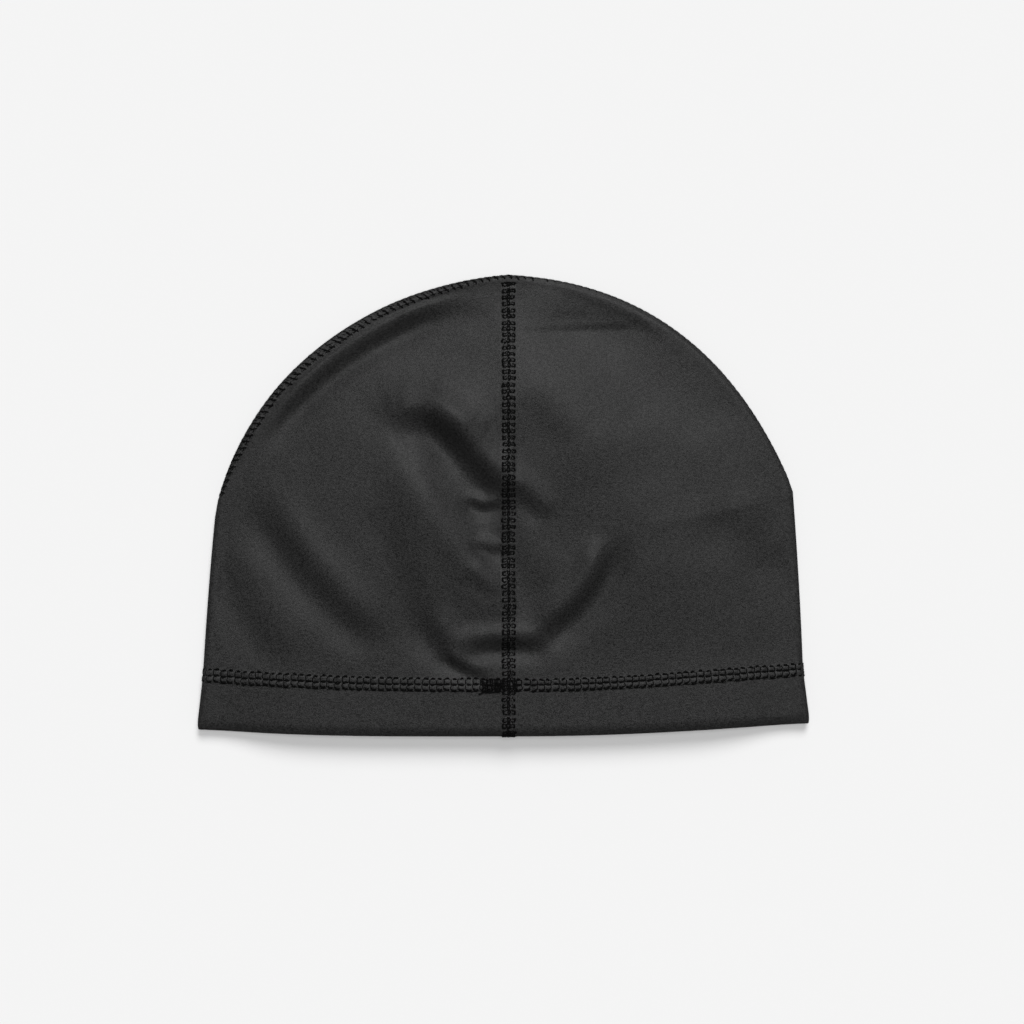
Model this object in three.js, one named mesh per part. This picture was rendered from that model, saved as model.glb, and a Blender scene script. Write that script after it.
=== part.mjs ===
// A close-fitting beanie in brushed stretch jersey, lying flat with its back side up.
// Two panels, left and right, wrap round the folded sides. A centre back seam and a centre front seam join
// them, and a crown seam runs over the folded top from one side dart to the other. The lower edge of each
// panel is turned up into a double hem. The cap is hollow and open at the hem.
// Millimetres, +Z up, +Y from the hem towards the crown, +X to the right as the back side is seen.

import * as THREE from "three";

// Driving dimensions of the cap as it lies.
const HEM_WIDTH = 260; // between the folded sides, at the hem
const HEIGHT = 195; // from the hem to the crown, along the centre back
const CLOTH = 1.2; // thickness of the jersey
const HEM_DEPTH = 22; // from the hem's fold up to its stitching
const HEM_LIFT = { left: 2.7, right: 5.3 }; // the hem's corners stand this far crownwards of its middle
const STITCH_LIFT = 1; // further lift of the stitching's ends
const LOWER_HEM_INSET = 4; // the lower layer's hem lies this far behind the upper one, at its middle
const SIDE_FOLD_INSIDE = 1.4; // inside radius of the folded sides
const HEM_FOLD_INSIDE = 0.8; // the same in the double cloth of the hem
const MOUTH_RISE = 6; // the upper layer's rise above its folded sides, at the hem
const BODY_RISE = 11; // the same in the body of the cap
const HEM_REACH = 26; // distance from the fold over which the upper layer rises, at the hem
const CROWN_REACH = 40; // the same round the crown
const SEAM_WIDTH = 6; // a flat seam's width, across its three rows of stitches
const SEAM_BULK = 0.5; // how much thicker than the cloth a flat seam is
const SEAM_CREST = 0.3; // how far a seam's middle stands proud of the cloth beside it
const SEAM_OFFSET = 2.2; // the centre seams lie this far right of the hem's middle
const FOLD_WIDTH = 10; // from the middle of a fold's slope to its crest or its trough
const FOLD_DROP = 5; // height of that crest, and depth of that trough
const PIECE_GAP = 0.3; // clearance between neighbouring pieces

const HALF = HEM_WIDTH / 2;
const HEM_CLOTH = 2 * CLOTH; // the hem is turned up once
const SEAM_CLOTH = CLOTH + SEAM_BULK;
const SIDE_FOLD_RADIUS = CLOTH + SIDE_FOLD_INSIDE;
const HEM_FOLD_RADIUS = HEM_CLOTH + HEM_FOLD_INSIDE;
const SEAM_HALF = SEAM_WIDTH / 2;
const PANEL_EDGE = SEAM_HALF + PIECE_GAP; // from a seam's middle to the edge of the panel beside it

// Half outlines as seen from above, with x a share of HALF and y a share of HEIGHT. The side runs from the
// end of the hem's stitching past "waist" to the dart's end. The crown arc leaves the dart along "lean" and
// meets the crown along "brow".
const OUTLINE = {
  left: {
    stitch: { x: -0.98 },
    waist: { x: -0.964, y: 0.323 },
    dart: { x: -0.941, y: 0.475 },
    lean: { x: -0.84, y: 0.785 },
    brow: { x: -0.46, y: 0.974 },
  },
  right: {
    stitch: { x: 0.977 },
    waist: { x: 0.968, y: 0.323 },
    dart: { x: 0.9445, y: 0.53 },
    lean: { x: 0.75, y: 0.848 },
    brow: { x: 0.43, y: 0.985 },
  },
};

// The crown seam's drift from the fold towards the upper side. "along" is the share of the crown arc from
// the dart's end to the crown, and "drift" is a share of SEAM_WIDTH.
const CROWN_SEAM_DRIFT = {
  left: [
    { along: 0, drift: 0.08 },
    { along: 0.25, drift: 0.42 },
    { along: 0.55, drift: 0.62 },
    { along: 0.8, drift: 0.4 },
    { along: 1, drift: 0.12 },
  ],
  right: [
    { along: 0, drift: -0.1 },
    { along: 0.5, drift: -0.2 },
    { along: 0.85, drift: -0.08 },
    { along: 1, drift: 0.12 },
  ],
};

// Main folds of the upper layer, each the slope between a crest and a trough. The slope's middle follows a
// curve from (x0, y0) past (xm, ym) to (x1, y1), as shares of HALF and HEIGHT. "width" is a share of
// FOLD_WIDTH and "drop" a share of FOLD_DROP, towards the hem, or below 0 where the cloth climbs that way.
const FOLDS = [
  { x0: -0.41, y0: 0.66, xm: -0.23, ym: 0.735, x1: -0.05, y1: 0.6, width: 0.68, drop: 0.42 },
  { x0: -0.29, y0: 0.74, xm: -0.14, ym: 0.62, x1: 0.08, y1: 0.475, width: 0.58, drop: 0.68 },
  { x0: 0, y0: 0.555, xm: 0.08, ym: 0.525, x1: 0.16, y1: 0.46, width: 0.38, drop: 0.22 },
  { x0: 0.35, y0: 0.45, xm: 0.33, ym: 0.29, x1: 0.06, y1: 0.2, width: 0.5, drop: 0.62 },
  { x0: -0.17, y0: 0.19, xm: 0, ym: 0.215, x1: 0.17, y1: 0.195, width: 0.38, drop: 0.46 },
  { x0: -0.26, y0: 0.29, xm: -0.22, ym: 0.16, x1: -0.02, y1: 0.135, width: 0.5, drop: 0.35 },
  { x0: -0.36, y0: 0.54, xm: -0.34, ym: 0.36, x1: -0.19, y1: 0.18, width: 0.78, drop: 0.26 },
  { x0: -0.82, y0: 0.56, xm: -0.63, ym: 0.3, x1: -0.34, y1: 0.19, width: 0.65, drop: 0.4 },
  { x0: -0.93, y0: 0.48, xm: -0.86, ym: 0.24, x1: -0.64, y1: 0.14, width: 0.7, drop: 0.18 },
  { x0: -0.35, y0: 0.65, xm: -0.13, ym: 0.48, x1: 0.1, y1: 0.2, width: 0.8, drop: -0.5 },
  { x0: -0.12, y0: 0.36, xm: 0.08, ym: 0.43, x1: 0.28, y1: 0.38, width: 1.3, drop: -0.2 },
  { x0: -0.45, y0: 0.76, xm: -0.2, ym: 0.84, x1: 0.06, y1: 0.7, width: 1.3, drop: -0.25 },
  { x0: 0.05, y0: 0.88, xm: 0.3, ym: 0.8, x1: 0.5, y1: 0.58, width: 1.5, drop: -0.3 },
  { x0: -0.82, y0: 0.6, xm: -0.58, ym: 0.865, x1: -0.08, y1: 0.95, width: 0.42, drop: 0.4 },
  { x0: 0, y0: 0.895, xm: 0.25, ym: 0.915, x1: 0.54, y1: 0.9, width: 0.65, drop: 0.13 },
  { x0: 0.06, y0: 0.76, xm: 0.14, ym: 0.7, x1: 0.24, y1: 0.62, width: 0.7, drop: 0.09 },
  { x0: 0.54, y0: 0.7, xm: 0.62, ym: 0.52, x1: 0.82, y1: 0.4, width: 1.2, drop: 0.15 },
  { x0: 0.7, y0: 0.52, xm: 0.8, ym: 0.42, x1: 0.93, y1: 0.36, width: 0.8, drop: 0.12 },
];
const FOLD_STEPS = 10; // straight stretches that stand for a fold's curve
const FOLD_FADE = 0.3; // share of a fold's length over which it fades at each end
const FOLD_CLEARANCE = 4; // folds die away over this distance from the outline

// Mesh rows and columns.
const HEM_ROWS = 3;
const SIDE_ROWS = 10;
const CROWN_ROWS = 22;
const LOWER_ROWS = 16;
const UPPER_COLUMNS = 20;
const EDGE_COLUMNS = 6;
const LOWER_COLUMNS = 7;
const HEM_ROUNDING = [20, 50, 90]; // degrees round the hem's fold
const BISECTIONS = 40;

const { lerp, clamp, smoothstep, degToRad } = THREE.MathUtils;

// The cap is drawn as ribs that leave the outline, and a rib's stage says where: 0 is the hem's edge, 1 the
// stitching, 2 the dart's end and 3 the crown.
const STITCH = 1;
const DART = 2;
const CROWN = 3;
const RIB_TENSION = 0.4; // share of a rib's span that its handles reach
const HEM_SLOPE = 0.055; // slope of the hem's ribs where they leave the outline
const LAST_RIB_DEPTH = SIDE_FOLD_RADIUS + 1.5 * SEAM_WIDTH; // how far below the crown the last rib ends
const CENTRE_AT_DART = 0.46; // share of HEIGHT where the rib of the dart's end meets the centre line

const outward = { left: -1, right: 1 };
const share = ({ x, y }) => new THREE.Vector2(x * HALF, y * HEIGHT);
const between = (a, b, count) => Array.from({ length: count + 1 }, (_, i) => lerp(a, b, i / count));

function halfOutline(side) {
  const row = OUTLINE[side];
  const hem = new THREE.Vector2(outward[side] * HALF, HEM_LIFT[side]);
  const stitch = new THREE.Vector2(row.stitch.x * HALF, HEM_LIFT[side] + HEM_DEPTH + STITCH_LIFT);
  const dart = share(row.dart);
  const crown = new THREE.Vector2(SEAM_OFFSET, HEIGHT);
  return [
    new THREE.LineCurve(hem, stitch),
    new THREE.QuadraticBezierCurve(stitch, share(row.waist), dart),
    new THREE.CubicBezierCurve(dart, share(row.lean), share(row.brow), crown),
  ];
}
const outlines = { left: halfOutline("left"), right: halfOutline("right") };

function outlinePoint(side, stage) {
  const piece = clamp(Math.floor(stage), 0, 2);
  return outlines[side][piece].getPoint(clamp(stage - piece, 0, 1));
}

// Direction from the outline into the cap: along the hem at the bottom, square to the outline round the
// crown, and straight down at the crown itself.
function inward(side, stage) {
  const step = 0.12;
  const along = outlinePoint(side, Math.min(stage + step, CROWN));
  along.sub(outlinePoint(side, Math.max(stage - step, 0))).normalize();
  const sign = outward[side];
  const square = new THREE.Vector2(-sign * along.y, sign * along.x);
  const level = new THREE.Vector2(-sign, -HEM_SLOPE);
  const down = new THREE.Vector2(0, -1);
  return level
    .lerp(square, smoothstep(stage, STITCH, DART + 0.2))
    .lerp(down, smoothstep(stage, CROWN - 0.25, CROWN))
    .normalize();
}

// Outside radius of the fold, which eases from the double hem to the single cloth.
function foldRadius(stage) {
  return lerp(HEM_FOLD_RADIUS, SIDE_FOLD_RADIUS, smoothstep(stage, STITCH - 0.2, STITCH + 0.6));
}

// Where a rib leaves the centre line, on the upper or the lower layer.
function centrePoint(stage, upper) {
  const dartY = CENTRE_AT_DART * HEIGHT;
  let y = lerp(0, HEM_DEPTH, stage);
  if (stage > STITCH) y = lerp(HEM_DEPTH, dartY, stage - STITCH);
  if (stage > DART) y = lerp(dartY, HEIGHT - LAST_RIB_DEPTH, stage - DART);
  if (!upper) y += LOWER_HEM_INSET * (1 - smoothstep(stage, STITCH, CROWN));
  return new THREE.Vector2(SEAM_OFFSET, y);
}

// The rib's plan, from the inner edge of the fold to the centre line.
const ribs = new Map();
function rib(side, stage, upper) {
  const key = [side, stage, upper].join();
  if (ribs.has(key)) return ribs.get(key);
  const into = inward(side, stage);
  const start = outlinePoint(side, stage).addScaledVector(into, foldRadius(stage));
  const end = centrePoint(stage, upper);
  const reach = RIB_TENSION * start.distanceTo(end);
  const straight = start.clone().sub(end).normalize();
  const level = new THREE.Vector2(outward[side], 0);
  const away = level.lerp(straight, smoothstep(stage, CROWN - 0.4, CROWN)).normalize();
  const startHandle = start.clone().addScaledVector(into, reach);
  const endHandle = end.clone().addScaledVector(away, reach);
  ribs.set(key, new THREE.CubicBezierCurve(start, startHandle, endHandle, end));
  return ribs.get(key);
}

const foldLines = FOLDS.map((fold) => {
  const from = share({ x: fold.x0, y: fold.y0 });
  const past = share({ x: fold.xm, y: fold.ym });
  const to = share({ x: fold.x1, y: fold.y1 });
  const points = new THREE.QuadraticBezierCurve(from, past, to).getPoints(FOLD_STEPS);
  return { points, width: fold.width * FOLD_WIDTH, drop: fold.drop * FOLD_DROP };
});

// Height that the folds add at a place of the upper layer.
function foldRelief(x, y) {
  let height = 0;
  for (const fold of foldLines) {
    let nearest = { distance: Infinity };
    for (let i = 0; i < FOLD_STEPS; i++) {
      const a = fold.points[i];
      const ab = fold.points[i + 1].clone().sub(a);
      const t = clamp(((x - a.x) * ab.x + (y - a.y) * ab.y) / ab.lengthSq(), 0, 1);
      const dx = x - a.x - t * ab.x;
      const dy = y - a.y - t * ab.y;
      const distance = Math.hypot(dx, dy);
      if (distance < nearest.distance) {
        const crownSide = Math.sign(ab.x * dy - ab.y * dx) * Math.sign(ab.x);
        nearest = { distance, along: (i + t) / FOLD_STEPS, crownSide };
      }
    }
    const across = (nearest.distance / fold.width) * nearest.crownSide;
    const fade = smoothstep(nearest.along, 0, FOLD_FADE) * smoothstep(1 - nearest.along, 0, FOLD_FADE);
    height += fold.drop * across * Math.exp((1 - across * across) / 2) * fade;
  }
  return height;
}

// A point of the outer surface. "around" is the distance round the cloth from the outline, positive on the
// upper layer and negative on the lower one.
function surfacePoint(side, stage, around) {
  const radius = foldRadius(stage);
  const quarter = (Math.PI / 2) * radius;
  if (Math.abs(around) <= quarter) {
    const angle = around / radius;
    const plan = outlinePoint(side, stage);
    plan.addScaledVector(inward(side, stage), radius * (1 - Math.cos(angle)));
    return new THREE.Vector3(plan.x, plan.y, radius * (1 + Math.sin(angle)));
  }
  const upper = around > 0;
  const curve = rib(side, stage, upper);
  const run = Math.abs(around) - quarter;
  const plan = curve.getPointAt(clamp(run / curve.getLength(), 0, 1));
  if (!upper) return new THREE.Vector3(plan.x, plan.y, 0);
  const inBody = smoothstep(stage, STITCH, DART);
  const reach = lerp(HEM_REACH, CROWN_REACH, inBody);
  const puff = lerp(MOUTH_RISE, BODY_RISE, inBody) * (1 - Math.exp(-((run / reach) ** 2)));
  const folds = smoothstep(run, 0, FOLD_CLEARANCE) * smoothstep(stage, STITCH - 0.1, STITCH + 0.2);
  return new THREE.Vector3(plan.x, plan.y, 2 * radius + puff + folds * foldRelief(plan.x, plan.y));
}

function surfaceNormal(side, stage, around) {
  const step = 0.01;
  const reach = 0.15;
  const up = surfacePoint(side, Math.min(stage + step, CROWN), around);
  up.sub(surfacePoint(side, Math.max(stage - step, 0), around));
  const inside = surfacePoint(side, stage, around + reach);
  inside.sub(surfacePoint(side, stage, around - reach));
  return inside.cross(up).multiplyScalar(-outward[side]).normalize();
}

// Distance round the cloth from the outline to the line that runs "half" beside a centre seam's middle.
function seamLine(side, stage, upper, half) {
  const sign = upper ? 1 : -1;
  let near = 0;
  let far = (Math.PI / 2) * foldRadius(stage) + rib(side, stage, upper).getLength();
  for (let i = 0; i < BISECTIONS; i++) {
    const middle = (near + far) / 2;
    const offset = surfacePoint(side, stage, sign * middle).x - SEAM_OFFSET;
    if (Math.abs(offset) > half) near = middle;
    else far = middle;
  }
  return sign * near;
}

function crownDrift(side, stage) {
  const along = clamp(stage - DART, 0, 1);
  const rows = CROWN_SEAM_DRIFT[side];
  const next = Math.max(1, rows.findIndex((row) => row.along >= along));
  const [a, b] = [rows[next - 1], rows[next]];
  return SEAM_WIDTH * lerp(a.drift, b.drift, smoothstep(along, a.along, b.along));
}

// Distance round the cloth from the outline to the crown seam's clearance, above the dart's end.
function crownLine(side, stage, upper) {
  return (upper ? PANEL_EDGE : -PANEL_EDGE) + crownDrift(side, stage);
}

// Stage where the line "half" beside a centre seam's middle runs into the crown seam.
function crownTip(side, upper, half) {
  let low = DART + 0.3;
  let high = CROWN;
  for (let i = 0; i < BISECTIONS; i++) {
    const stage = (low + high) / 2;
    const open = Math.abs(seamLine(side, stage, upper, half)) > Math.abs(crownLine(side, stage, upper));
    if (open) low = stage;
    else high = stage;
  }
  return low;
}

// A wall of cloth: faces on the outer surface, the same faces on the inner one, and a rim round the edges.
class Wall {
  constructor(facesDown) {
    this.facesDown = facesDown;
    this.outer = [];
    this.inner = [];
    this.faces = [];
  }

  vertex(point, normal, outerOffset, innerOffset) {
    this.outer.push(point.clone().addScaledVector(normal, outerOffset));
    this.inner.push(point.clone().addScaledVector(normal, innerOffset));
    return this.outer.length - 1;
  }

  // A row of vertices along a rib, one at each distance in "columns".
  row(side, stage, columns, outerOffset, innerOffset) {
    return columns.map((around) =>
      this.vertex(
        surfacePoint(side, stage, around),
        surfaceNormal(side, stage, around),
        outerOffset,
        innerOffset,
      ),
    );
  }

  triangle(a, b, c) {
    if (a === b || b === c || c === a) return;
    this.faces.push(this.facesDown ? [a, c, b] : [a, b, c]);
  }

  join(rows) {
    for (let r = 0; r + 1 < rows.length; r++) {
      const [low, high] = [rows[r], rows[r + 1]];
      for (let i = 0; i + 1 < low.length; i++) {
        this.triangle(low[i], high[i], high[i + 1]);
        this.triangle(low[i], high[i + 1], low[i + 1]);
      }
    }
  }

  geometry() {
    const count = this.outer.length;
    const index = [];
    const edges = new Set();
    for (const [a, b, c] of this.faces) {
      index.push(a, b, c, count + a, count + c, count + b);
      for (const pair of [[a, b], [b, c], [c, a]]) edges.add(pair.join(":"));
    }
    for (const edge of edges) {
      const [p, q] = edge.split(":").map(Number);
      if (!edges.has(q + ":" + p)) index.push(q, p, count + p, q, count + p, count + q);
    }
    const geometry = new THREE.BufferGeometry().setFromPoints([...this.outer, ...this.inner]);
    geometry.setIndex(index);
    geometry.computeVertexNormals();
    return geometry;
  }
}

// Stages of the hem's rows, and how far both surfaces draw back there to round the lower fold.
function hemRows(top) {
  const radius = HEM_CLOTH / 2;
  const rounded = HEM_ROUNDING.map((degrees) => {
    const angle = degToRad(degrees);
    return { stage: (radius * (1 - Math.cos(angle))) / HEM_DEPTH, draw: radius * (1 - Math.sin(angle)) };
  });
  const plain = between(rounded.at(-1).stage, top, HEM_ROWS).slice(1);
  return [...rounded, ...plain.map((stage) => ({ stage, draw: 0 }))];
}

// Columns round the cloth from the back seam over the fold to the front seam.
function wholeColumns(side, stage) {
  const upperFold = crownLine(side, DART, true);
  const lowerFold = crownLine(side, DART, false);
  return [
    ...between(seamLine(side, stage, true, PANEL_EDGE), upperFold, UPPER_COLUMNS),
    ...between(upperFold, lowerFold, EDGE_COLUMNS).slice(1),
    ...between(lowerFold, seamLine(side, stage, false, PANEL_EDGE), LOWER_COLUMNS).slice(1),
  ];
}

// Columns of one lobe of a panel, between the crown seam and a centre seam.
function lobeColumns(side, stage, upper) {
  const seam = seamLine(side, stage, upper, PANEL_EDGE);
  const crown = crownLine(side, stage, upper);
  return upper ? between(seam, crown, UPPER_COLUMNS) : between(crown, seam, LOWER_COLUMNS);
}

function hemGeometry(side) {
  const wall = new Wall(side === "right");
  const top = STITCH - PIECE_GAP / 2 / HEM_DEPTH;
  const rows = hemRows(top).map(({ stage, draw }) =>
    wall.row(side, stage, wholeColumns(side, stage), -draw, draw - HEM_CLOTH),
  );
  wall.join(rows);
  return wall.geometry();
}

function panelGeometry(side) {
  const wall = new Wall(side === "right");
  const clothRow = (stage, columns) => wall.row(side, stage, columns, 0, -CLOTH);
  const bottom = STITCH + PIECE_GAP / 2 / outlines[side][1].getLength();
  const sideRows = between(bottom, DART, SIDE_ROWS).map((stage) =>
    clothRow(stage, wholeColumns(side, stage)),
  );
  wall.join(sideRows);
  const dartRow = sideRows.at(-1);
  for (const upper of [true, false]) {
    const tip = crownTip(side, upper, PANEL_EDGE);
    const stages = between(DART, tip, upper ? CROWN_ROWS : LOWER_ROWS).slice(1, -1);
    const first = upper ? dartRow.slice(0, UPPER_COLUMNS + 1) : dartRow.slice(-LOWER_COLUMNS - 1);
    const rows = stages.map((stage) => clothRow(stage, lobeColumns(side, stage, upper)));
    const [point] = clothRow(tip, [crownLine(side, tip, upper)]);
    wall.join([first, ...rows, first.map(() => point)]);
  }
  return wall.geometry();
}

// A centre seam from the hem's fold to the crown seam, on the upper (back) or the lower (front) layer.
function centreSeamGeometry(upper) {
  const wall = new Wall(upper);
  const tips = { left: crownTip("left", upper, SEAM_HALF), right: crownTip("right", upper, SEAM_HALF) };
  const rows = [
    ...hemRows(STITCH).map((row) => ({ ...row, thick: HEM_CLOTH })),
    ...between(STITCH, DART, SIDE_ROWS).slice(1).map((stage) => ({ stage, draw: 0, thick: SEAM_CLOTH })),
    ...between(0, 1, CROWN_ROWS).slice(1).map((climb) => ({ climb, draw: 0, thick: SEAM_CLOTH })),
  ].map((row) => {
    const edge = (side) => {
      const stage = row.stage ?? lerp(DART, tips[side], row.climb);
      const around = seamLine(side, stage, upper, SEAM_HALF);
      return { point: surfacePoint(side, stage, around), normal: surfaceNormal(side, stage, around) };
    };
    const [left, right] = [edge("left"), edge("right")];
    const point = left.point.clone().lerp(right.point, 0.5);
    const normal = left.normal.clone().add(right.normal).normalize();
    const crest = upper ? SEAM_CREST : 0;
    return [
      wall.vertex(left.point, left.normal, -row.draw, row.draw - row.thick),
      wall.vertex(point, normal, crest - row.draw, row.draw - row.thick),
      wall.vertex(right.point, right.normal, -row.draw, row.draw - row.thick),
    ];
  });
  wall.join(rows);
  return wall.geometry();
}

// The crown seam, from the left dart's end over the crown to the right dart's end.
function crownSeamGeometry() {
  const wall = new Wall(false);
  const halfRows = (side) => {
    const start = DART + PIECE_GAP / outlines[side][2].getLength();
    return between(start, CROWN, CROWN_ROWS).map((stage) =>
      between(SEAM_HALF, -SEAM_HALF, EDGE_COLUMNS).map((across) => {
        const around = across + crownDrift(side, stage);
        const point = surfacePoint(side, stage, around);
        const proud = SEAM_CREST * (1 - (across / SEAM_HALF) ** 2);
        const crest = Math.min(proud, point.z); // pressed flat where the seam meets the surface below
        return wall.vertex(point, surfaceNormal(side, stage, around), crest, crest - SEAM_CLOTH);
      }),
    );
  };
  wall.join([...halfRows("left"), ...halfRows("right").slice(0, -1).toReversed()]);
  return wall.geometry();
}

const jersey = () => new THREE.MeshStandardMaterial({ color: 0x35353a, roughness: 0.9, metalness: 0 });
const thread = () => new THREE.MeshStandardMaterial({ color: 0x141416, roughness: 0.7, metalness: 0 });

function piece(name, geometry, material) {
  const mesh = new THREE.Mesh(geometry, material);
  mesh.name = name;
  return mesh;
}

const beanie = new THREE.Group();
for (const side of ["left", "right"]) {
  beanie.add(piece(side + "_panel", panelGeometry(side), jersey()));
  beanie.add(piece(side + "_hem", hemGeometry(side), jersey()));
}
beanie.add(piece("back_seam", centreSeamGeometry(true), thread()));
beanie.add(piece("front_seam", centreSeamGeometry(false), thread()));
beanie.add(piece("crown_seam", crownSeamGeometry(), thread()));

// The origin is the middle of the footprint, on the surface that the cap lies on.
const box = new THREE.Box3().setFromObject(beanie);
const middle = box.getCenter(new THREE.Vector3());
beanie.position.set(-middle.x, -middle.y, -box.min.z);

export default beanie;
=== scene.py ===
# The looks of a stretch jersey beanie that lies flat with its back side up: brushed cloth with its folds,
# three-row stitching on every seam, a tack with a loose tail beside the back seam, and a plain studio.

import math
from functools import lru_cache

import bpy
import numpy as np
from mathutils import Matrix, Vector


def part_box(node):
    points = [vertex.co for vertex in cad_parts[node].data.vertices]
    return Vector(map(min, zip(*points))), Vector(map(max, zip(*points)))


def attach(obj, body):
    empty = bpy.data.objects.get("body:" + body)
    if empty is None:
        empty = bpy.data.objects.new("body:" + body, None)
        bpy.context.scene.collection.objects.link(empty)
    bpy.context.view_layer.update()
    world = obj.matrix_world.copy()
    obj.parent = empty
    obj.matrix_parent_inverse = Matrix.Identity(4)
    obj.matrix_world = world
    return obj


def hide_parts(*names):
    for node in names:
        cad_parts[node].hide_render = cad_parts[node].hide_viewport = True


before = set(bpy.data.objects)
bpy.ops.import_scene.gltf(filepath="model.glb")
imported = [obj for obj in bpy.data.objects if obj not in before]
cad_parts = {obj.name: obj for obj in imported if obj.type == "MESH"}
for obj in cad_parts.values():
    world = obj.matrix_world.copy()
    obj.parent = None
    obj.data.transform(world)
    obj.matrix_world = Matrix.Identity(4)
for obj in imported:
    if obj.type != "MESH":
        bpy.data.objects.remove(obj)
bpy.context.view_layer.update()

# The cap's driving dimensions, in millimetres, as the part has them.
HEM_WIDTH = 260
HEIGHT = 195
CLOTH = 1.2
HEM_DEPTH = 22
HEM_LIFT = {"left": 2.7, "right": 5.3}
STITCH_LIFT = 1
LOWER_HEM_INSET = 4
SIDE_FOLD_INSIDE = 1.4
HEM_FOLD_INSIDE = 0.8
MOUTH_RISE = 6
BODY_RISE = 11
HEM_REACH = 26
CROWN_REACH = 40
SEAM_WIDTH = 6
SEAM_BULK = 0.5
SEAM_CREST = 0.3
SEAM_OFFSET = 2.2
PIECE_GAP = 0.3
FOLD_WIDTH = 10
FOLD_DROP = 5

HALF = HEM_WIDTH / 2
HEM_CLOTH = 2 * CLOTH
SEAM_CLOTH = CLOTH + SEAM_BULK
SIDE_FOLD_RADIUS = CLOTH + SIDE_FOLD_INSIDE
HEM_FOLD_RADIUS = HEM_CLOTH + HEM_FOLD_INSIDE
SEAM_HALF = SEAM_WIDTH / 2
PANEL_EDGE = SEAM_HALF + PIECE_GAP

# Half outlines, with x a share of HALF and y a share of HEIGHT.
OUTLINE = {
    "left": {"stitch": -0.98, "waist": (-0.964, 0.323), "dart": (-0.941, 0.475), "lean": (-0.84, 0.785),
             "brow": (-0.46, 0.974)},
    "right": {"stitch": 0.977, "waist": (0.968, 0.323), "dart": (0.9445, 0.53), "lean": (0.75, 0.848),
              "brow": (0.43, 0.985)},
}

# The crown seam's drift towards the upper side: (share of the crown arc, share of SEAM_WIDTH).
CROWN_SEAM_DRIFT = {
    "left": [(0, 0.08), (0.25, 0.42), (0.55, 0.62), (0.8, 0.4), (1, 0.12)],
    "right": [(0, -0.1), (0.5, -0.2), (0.85, -0.08), (1, 0.12)],
}

# Folds of the upper layer, each the slope between a crest and a trough: the start, a point that the curve
# leans to and the end, as shares of HALF and HEIGHT, the width as a share of FOLD_WIDTH, and the drop towards
# the hem as a share of FOLD_DROP, which is below 0 where the cloth climbs.
FOLDS = [
    ((-0.41, 0.66), (-0.23, 0.735), (-0.05, 0.6), 0.68, 0.42),
    ((-0.29, 0.74), (-0.14, 0.62), (0.08, 0.475), 0.58, 0.68),
    ((0, 0.555), (0.08, 0.525), (0.16, 0.46), 0.38, 0.22),
    ((-0.13, 0.53), (-0.07, 0.47), (0.01, 0.52), 0.25, 0.28),
    ((-0.1, 0.43), (-0.05, 0.395), (0.01, 0.41), 0.25, 0.22),
    ((-0.13, 0.365), (-0.08, 0.34), (0, 0.3), 0.35, 0.16),
    ((0.35, 0.45), (0.33, 0.29), (0.06, 0.2), 0.5, 0.62),
    ((-0.17, 0.19), (0, 0.215), (0.17, 0.195), 0.38, 0.46),
    ((-0.26, 0.29), (-0.22, 0.16), (-0.02, 0.135), 0.5, 0.35),
    ((-0.2, 0.19), (-0.15, 0.135), (-0.02, 0.128), 0.26, 0.34),
    ((-0.36, 0.54), (-0.34, 0.36), (-0.19, 0.18), 0.78, 0.26),
    ((-0.82, 0.56), (-0.63, 0.3), (-0.34, 0.19), 0.65, 0.4),
    ((-0.93, 0.48), (-0.86, 0.24), (-0.64, 0.14), 0.7, 0.18),
    ((-0.35, 0.65), (-0.13, 0.48), (0.1, 0.2), 0.8, -0.5),
    ((-0.12, 0.36), (0.08, 0.43), (0.28, 0.38), 1.3, -0.2),
    ((-0.45, 0.76), (-0.2, 0.84), (0.06, 0.7), 1.3, -0.25),
    ((0.05, 0.88), (0.3, 0.8), (0.5, 0.58), 1.5, -0.3),
    ((-0.82, 0.6), (-0.58, 0.865), (-0.08, 0.95), 0.42, 0.4),
    ((-0.42, 0.9), (-0.2, 0.94), (0.02, 0.915), 0.5, 0.1),
    ((0, 0.895), (0.25, 0.915), (0.54, 0.9), 0.65, 0.13),
    ((0.02, 0.878), (0.25, 0.887), (0.5, 0.893), 0.16, 0.045),
    ((0.06, 0.76), (0.14, 0.7), (0.24, 0.62), 0.7, 0.09),
    ((0.54, 0.7), (0.62, 0.52), (0.82, 0.4), 1.2, 0.15),
    ((0.7, 0.52), (0.8, 0.42), (0.93, 0.36), 0.8, 0.12),
]
FOLD_STEPS = 10  # straight stretches that stand for a fold's curve
FOLD_FADE = 0.3  # share of a fold's length over which it fades at each end
FOLD_CLEARANCE = 4  # folds die away over this distance from the outline

# Low random undulation of the lying cloth: cell size and height, in millimetres.
UNDULATION = [(38, 0.5), (17, 0.3), (8, 0.1)]
NOISE_CORNERS = 64  # random values along each side of the noise's table
NOISE_SHIFT = 20  # keeps the cap's places on one side of the table's first corner
SEED = 7

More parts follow.
